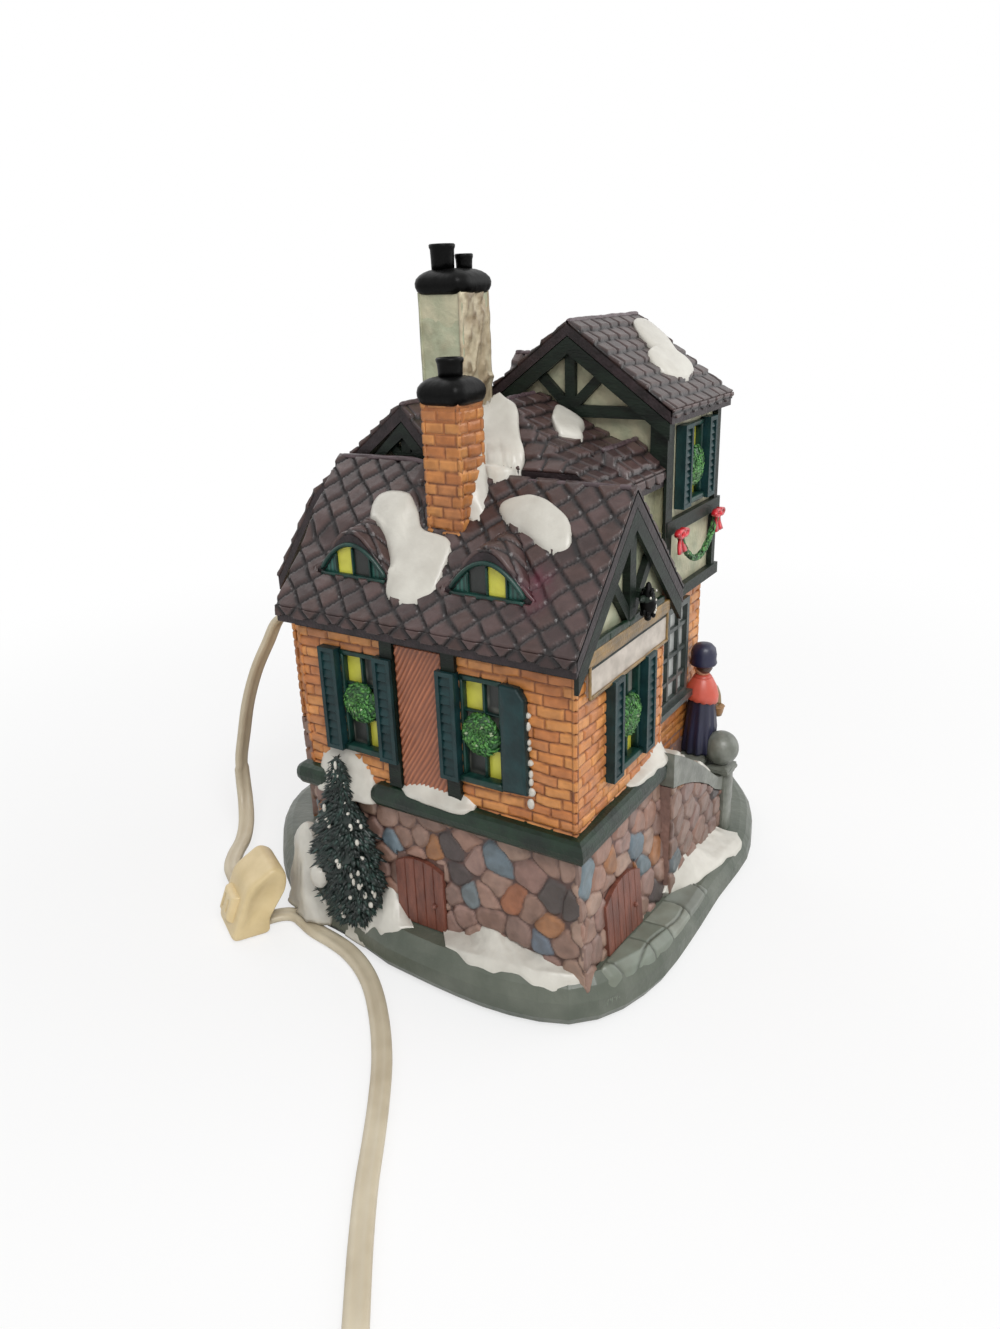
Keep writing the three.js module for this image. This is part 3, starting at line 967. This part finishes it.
add('snow_on_ledge', ellipsoid([-1.4, 62.2, 55.6], [3.6, 4.2, 6.2], 12)
  .subtract(box(-GAP, 10, 40, 90, 0, 100)).subtract(box(-20, 0, 50, 61.8, 0, 56.3)), 'snow');
const bank = loft([[0, 9, 11], [10, 8.4, 9.4], [22, 5.6, 7], [32, 3.4, 5], [37, 1.6, 3]]
  .map(([up, rx, ry]) => Array.from({ length: 14 }, (_, i) => {
    const a = 2 * Math.PI * i / 14;
    return [1 + rx * Math.cos(a), 91 + ry * Math.sin(a), PLINTH_TOP - 1 + up];
  })));
add('snow_bank', bank.subtract(groundSpace).subtract(box(-GAP, 60, 40, WING_D + GAP, 0, 90))
  .subtract(box(-20, 60, 40, 87, LEDGE.z0 - GAP, 90))
  .subtract(box(-20, 60, 40, TREE.y + 13.4, 0, 90)), 'snow');

// Lamp: a clip-in holder in the back wall, its bulb in the rooms, its lead hanging to the table

const wallOut = BLOCK_Y1;
const lampAt = [LAMP.x, 0, LAMP.z];
const CUP_MOUTH = wallOut - 20;
const CUP_END = wallOut - 6;
const RELIEF_END = wallOut + 13;
const lampHolder = revolve([
  [0, CUP_END], [LAMP.cup, CUP_END], [LAMP.cup, CUP_MOUTH], [LAMP.barrel - 1, CUP_MOUTH],
  [LAMP.barrel, CUP_MOUTH + 1], [LAMP.barrel, wallOut + GAP], [LAMP.flange - 0.6, wallOut + GAP],
  [LAMP.flange, wallOut + 0.9], [LAMP.flange - 0.8, wallOut + 2.6], [9, wallOut + 3],
  [8.4, wallOut + 6], [4.8, wallOut + 6.6], [3.9, RELIEF_END - 1], [3.4, RELIEF_END], [0, RELIEF_END],
], 24, lampAt, 'y');
add('lamp_holder', lampHolder, 'ivory');

const clipIn = LAMP.barrel + GAP;
const clipRing = revolve([
  [clipIn, wallOut - 17], [clipIn + 0.7, wallOut - 17], [clipIn + 0.7, wallOut - 13.4],
  [clipIn, wallOut - 13.4], [clipIn, wallOut - 17],
], 24, lampAt, 'y');
const clipWing = [
  [clipIn + 0.1, wallOut - 16], [LAMP.hole - 1.1, wallOut - 10], [LAMP.hole - 0.4, wallOut - 3.6],
  [clipIn + 0.6, wallOut - 0.6], [clipIn + 0.1, wallOut - 0.8], [LAMP.hole - 1.2, wallOut - 3.8],
  [LAMP.hole - 1.9, wallOut - 9.6], [clipIn + 0.1, wallOut - 13.8],
];
const clipWings = [1, -1].map((s) => prism('x',
  clipWing.map(([r, y]) => [y, LAMP.z + s * r]), LAMP.x - 3, LAMP.x + 3));
add('lamp_spring_clip', union(clipRing, ...clipWings), 'steel');

const bulbR = 11;
const bulbGlass = revolve([
  [0, CUP_MOUTH - 38], [2.6, CUP_MOUTH - 37], [5.6, CUP_MOUTH - 33.6], [8.8, CUP_MOUTH - 27.6],
  [bulbR, CUP_MOUTH - 19.6], [bulbR - 0.6, CUP_MOUTH - 13.4], [7.6, CUP_MOUTH - 6], [5.9, CUP_MOUTH - 2],
  [5.9, CUP_MOUTH - 0.6], [0, CUP_MOUTH - 0.6],
], 24, lampAt, 'y');
add('bulb_glass', bulbGlass, 'glass');
const bulbCap = revolve([
  [0, CUP_MOUTH - GAP], [6.1, CUP_MOUTH - GAP], [6.1, CUP_END - 3.4], [4, CUP_END - 1.6],
  [2.2, CUP_END - 1.4], [2, CUP_END - GAP], [0, CUP_END - GAP],
], 24, lampAt, 'y');
add('bulb_screw_cap', bulbCap, 'brass');

// Flat twin cord: the lead from the lamp to the block, and the supply lead to the plug

const cordSection = new THREE.Shape(Array.from({ length: 8 }, (_, i) => {
  const a = 2 * Math.PI * i / 8;
  return new THREE.Vector2(CORD_T / 2 * Math.sin(a), CORD_W / 2 * Math.cos(a));
}));
const LEAD_POINTS = [
  [LAMP.x, RELIEF_END + GAP, LAMP.z], [LAMP.x, 136.6, LAMP.z], [45.4, 139.6, 75.2], [41.2, 140.8, 69],
  [35.5, 142, 60.7], [31, 143.4, 50.1], [28.5, 145, 38.5], [26.9, 146.5, 28.4], [25.9, 146, 21],
  [23.6, 143.6, 14.6], [18.6, 139, 9.6], [12.4, 134.6, 7.4], [5.4, 130.8, 7], [-0.8, 126, 7],
  [-5, 119.8, 7], [-8, 114.2, 7],
];
const cordTube = (points, steps) => solidOf(new THREE.ExtrudeGeometry(cordSection, {
  steps, extrudePath: new THREE.CatmullRomCurve3(points.map((p) => new THREE.Vector3(...p))),
}));
add('lamp_lead', cordTube(LEAD_POINTS, 24), 'cord');

// Table block that joins the two leads: a faceted moulding with outlet slots

const TAP = { at: [-24.4, 102.9, 0], turn: -0.513, depth: 17, foot: 12 };
const tapProfile = [
  [0, 0.4], [0.6, 0], [TAP.foot, 0], [TAP.foot, 4.2], [14, 7.4], [18.8, 14.1], [19.4, 19.2],
  [15.7, 21.9], [7.1, 17],
];
const oval = (cx, cz, a, b, n) => Array.from({ length: n }, (_, i) => [
  cx + a * Math.cos(2 * Math.PI * i / n), cz + b * Math.sin(2 * Math.PI * i / n)]);
const tapBody = prism('y', tapProfile, 0, TAP.depth)
  .subtract(prism('y', oval(11.6, 13, 3, 4.6, 16), -1, 1))
  .add(prism('y', [[4, 4.6], [0.4, 6.2], [3.6, 14], [7, 12.6]], 4, 13.6))
  .subtract(prism('y', [[-2, 8.4], [2.2, 6.8], [3.6, 10.2], [0, 12]], 6.2, 7.4))
  .subtract(prism('y', [[-2, 9], [2.6, 7.4], [4.2, 11.4], [0, 13.4]], 10, 11.4));
const tap = add('table_tap', tapBody, 'ivory');
tap.position.set(...TAP.at);
tap.rotation.z = TAP.turn;

// Supply lead: free stretch on the table, then a neat round coil out of the way, then the plug

const LAY = CORD_T / 2 + 0.1;
const SUPPLY_POINTS = [
  [-10.6, 102], [-8.5, 100.8], [-6.3, 98.9], [-4.9, 96.5], [-4.6, 93.8], [-5.4, 91], [-7.4, 84.6],
  [-8.6, 76.5], [-10.2, 69.5], [-13.4, 62], [-18.6, 54], [-27.8, 44], [-38.5, 34.6], [-49.2, 27], [-59.2, 20.6], [-69.6, 14.2],
  [-80.4, 6.8], [-91, -1], [-103, -10], [-111, -16], [-119, -22],
].map(([x, y]) => [x, y, LAY]);
add('supply_lead', cordTube(SUPPLY_POINTS, 32), 'cord');

const COIL = { cx: -159, cy: -2, outer: 40, pitch: 5.75, turns: 4, rise: 3.15, steps: 24 };
const entryAngle = -53.13 * Math.PI / 180;
const coilRadius = (s) => COIL.outer - COIL.pitch * (s < COIL.turns ? s : 2 * COIL.turns - s);
const coilTurns = 2 * COIL.turns - 0.1;
const coilPoint = (s) => {
  const a = entryAngle - 2 * Math.PI * s;
  const r = coilRadius(s);
  const up = smooth((s - COIL.turns + 0.25) / 0.5);
  return new THREE.Vector3(COIL.cx + r * Math.cos(a), COIL.cy + r * Math.sin(a), LAY + COIL.rise * up);
};
const supplyEnd = new THREE.Vector3(...SUPPLY_POINTS.at(-1));
const heading = new THREE.Vector3(-0.8, -0.6, 0);
const coilStart = coilPoint(0);
const lead = coilStart.clone().sub(supplyEnd).length();
const coilPath = [
  supplyEnd.clone().addScaledVector(heading, GAP),
  supplyEnd.clone().addScaledVector(heading, GAP + CORD_W),
  supplyEnd.clone().addScaledVector(heading, lead * 0.6),
];
const coilSteps = Math.round(coilTurns * COIL.steps);
for (let i = 0; i <= coilSteps; i += 1) coilPath.push(coilPoint(coilTurns * i / coilSteps));
const exitDirection = coilPath.at(-1).clone().sub(coilPath.at(-2)).setZ(0).normalize();
const coilEnd = coilPath.at(-1).clone();
for (const [far, up] of [[8, 0.85], [16, 0.4], [24, 0.06], [29.3, 0]]) {
  coilPath.push(coilEnd.clone().addScaledVector(exitDirection, far).setZ(LAY + COIL.rise * up));
}
const coilSection = [[CORD_W / 2, 0], [1.6, CORD_T / 2], [-1.6, CORD_T / 2], [-CORD_W / 2, 0],
  [-1.6, -CORD_T / 2], [1.6, -CORD_T / 2]];
const coilRings = coilPath.map((p, i) => {
  const ahead = coilPath[Math.min(i + 1, coilPath.length - 1)].clone()
    .sub(coilPath[Math.max(i - 1, 0)]).setZ(0).normalize();
  return coilSection.map(([side, up]) => [p.x - ahead.y * side, p.y + ahead.x * side, p.z + up]);
});
add('supply_coil', loft(coilRings), 'cord');
let leastGap = Infinity;
for (let i = 0; i < coilRings.length; i += 1) {
  for (let j = i + COIL.steps / 2; j < coilRings.length; j += 1) {
    for (const p of coilRings[i]) {
      for (const q of coilRings[j]) {
        leastGap = Math.min(leastGap, Math.hypot(p[0] - q[0], p[1] - q[1], p[2] - q[2]));
      }
    }
  }
}
console.log(`least gap between the coil's turns: ${leastGap.toFixed(2)} mm`);

// Plug: a small moulded body with two flat blades

const plugBody = loft([[0, 2.4, 1.6, 1.7], [3, 4.6, 3.2, 3.4], [8, 6.2, 4.6, 4.8], [20, 6.4, 4.8, 4.9],
  [22, 5.8, 4.4, 4.9]].map(([along, a, b, centre]) => Array.from({ length: 12 }, (_, i) => {
  const t = 2 * Math.PI * i / 12;
  const round = (Math.abs(Math.cos(t)) ** 4 + Math.abs(Math.sin(t)) ** 4) ** -0.25;
  return [along, a * round * Math.cos(t), centre + b * round * Math.sin(t)];
})));
const blades = [-1, 1].map((s) => box(21, 38, s * 3.2 - 0.75, s * 3.2 + 0.75, 2.2, 7.6));
const plug = add('supply_plug', union(plugBody, ...blades), 'ivory');
const plugAt = coilPath.at(-1).clone().addScaledVector(exitDirection, GAP);
plug.position.set(plugAt.x, plugAt.y, 0.1);
plug.rotation.z = Math.atan2(exitDirection.y, exitDirection.x);

house.position.set(-(rimBounds.min.x + rimBounds.max.x) / 2, -(rimBounds.min.y + rimBounds.max.y) / 2, 0);
const part = new THREE.Group();
part.add(house);

export default part;
